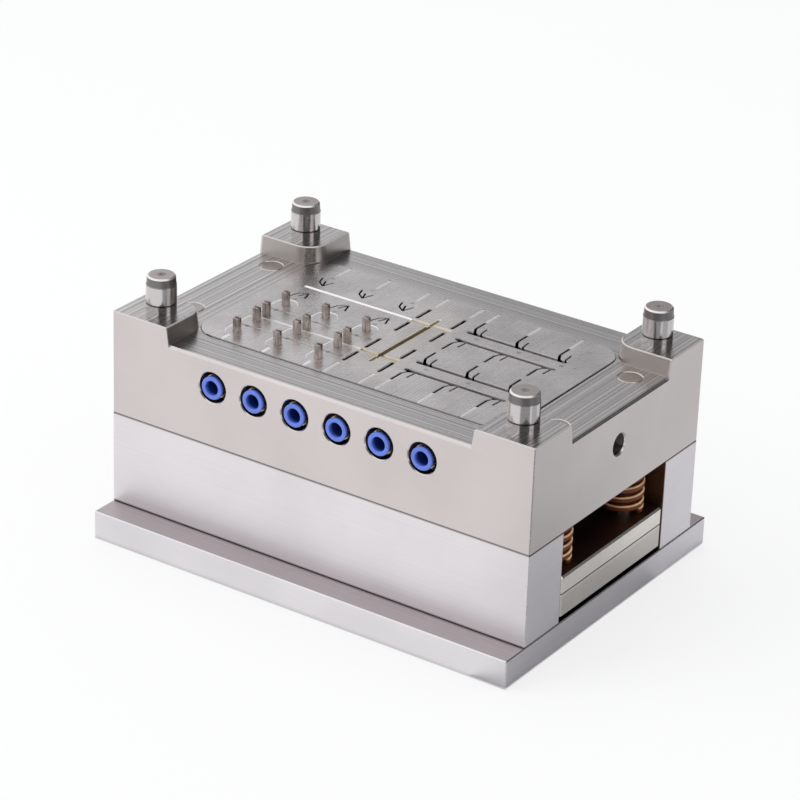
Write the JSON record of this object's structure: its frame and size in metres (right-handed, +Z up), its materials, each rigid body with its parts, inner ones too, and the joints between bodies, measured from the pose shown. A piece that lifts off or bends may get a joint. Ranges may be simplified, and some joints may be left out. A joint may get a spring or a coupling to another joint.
{
  "type": "mould base",
  "caption": "Moving half of an injection mould base: clamp plate, spacer blocks, sprung ejector plates and a core plate with guide pins, corner locks, a cored insert and water fittings.",
  "frame": {"origin": "middle of the clamp plate's underside", "axes": "+X along the length, towards the end seen on the right of the picture; -Y towards the water fittings; +Z up, the way the mould opens"},
  "size_m": [0.4, 0.3, 0.225],
  "materials": {
    "ground_plate_steel": "ground",
    "ejector_plate_steel": "ground",
    "milled_insert_steel": "milled and polished",
    "core_pin_steel": "ground",
    "polished_guide_steel": "polished",
    "return_pin_steel": "ground",
    "ejector_pin_steel": "nitrided",
    "brown_spring_coating": "satin",
    "hardened_button_steel": "ground",
    "black_screw_steel": "black oxide",
    "plated_fitting_brass": "plated",
    "plug_brass": "turned",
    "black_seal_rubber": "matte",
    "blue_collar_plastic": "moulded"
  },
  "bodies": {
    "moving_half": {"bottom_clamp_plate": "ground_plate_steel", "spacer_block_front": "ground_plate_steel", "spacer_block_rear": "ground_plate_steel", "core_plate": "ground_plate_steel", "core_insert": "milled_insert_steel", "core_pins": "core_pin_steel", "water_plugs": "plug_brass", "guide_pins": "polished_guide_steel", "return_springs": "brown_spring_coating", "rest_buttons": "hardened_button_steel", "clamp_screws": "black_screw_steel", "spacer_screws": "black_screw_steel", "insert_screws": "black_screw_steel", "fitting_bodies": "plated_fitting_brass", "fitting_seals": "black_seal_rubber"},
    "ejector_set": {"ejector_plate": "ejector_plate_steel", "ejector_retainer_plate": "ejector_plate_steel", "return_pins": "return_pin_steel", "ejector_pins": "ejector_pin_steel", "runner_puller_pins": "ejector_pin_steel", "stroke_stops": "hardened_button_steel", "stroke_stop_screws": "black_screw_steel", "ejector_plate_screws": "black_screw_steel"},
    "release_collar_1": {"release_collar_1": "blue_collar_plastic"},
    "release_collar_2": {"release_collar_2": "blue_collar_plastic"},
    "release_collar_3": {"release_collar_3": "blue_collar_plastic"},
    "release_collar_4": {"release_collar_4": "blue_collar_plastic"},
    "release_collar_5": {"release_collar_5": "blue_collar_plastic"},
    "release_collar_6": {"release_collar_6": "blue_collar_plastic"}
  },
  "joints": [
    {"name": "ejector_stroke", "type": "slide", "parent": "moving_half", "child": "ejector_set", "axis": [0, 0, 1], "range_m": [0, 0.02], "stiffness_N_per_m": 60000, "springref_m": -0.005, "deforming": ["return_springs"]},
    {"name": "collar_1_push", "type": "slide", "parent": "moving_half", "child": "release_collar_1", "axis": [0, 1, 0], "range_m": [0, 0.0015], "stiffness_N_per_m": 400},
    {"name": "collar_2_push", "type": "slide", "parent": "moving_half", "child": "release_collar_2", "axis": [0, 1, 0], "range_m": [0, 0.0015], "stiffness_N_per_m": 400},
    {"name": "collar_3_push", "type": "slide", "parent": "moving_half", "child": "release_collar_3", "axis": [0, 1, 0], "range_m": [0, 0.0015], "stiffness_N_per_m": 400},
    {"name": "collar_4_push", "type": "slide", "parent": "moving_half", "child": "release_collar_4", "axis": [0, 1, 0], "range_m": [0, 0.0015], "stiffness_N_per_m": 400},
    {"name": "collar_5_push", "type": "slide", "parent": "moving_half", "child": "release_collar_5", "axis": [0, 1, 0], "range_m": [0, 0.0015], "stiffness_N_per_m": 400},
    {"name": "collar_6_push", "type": "slide", "parent": "moving_half", "child": "release_collar_6", "axis": [0, 1, 0], "range_m": [0, 0.0015], "stiffness_N_per_m": 400}
  ]
}
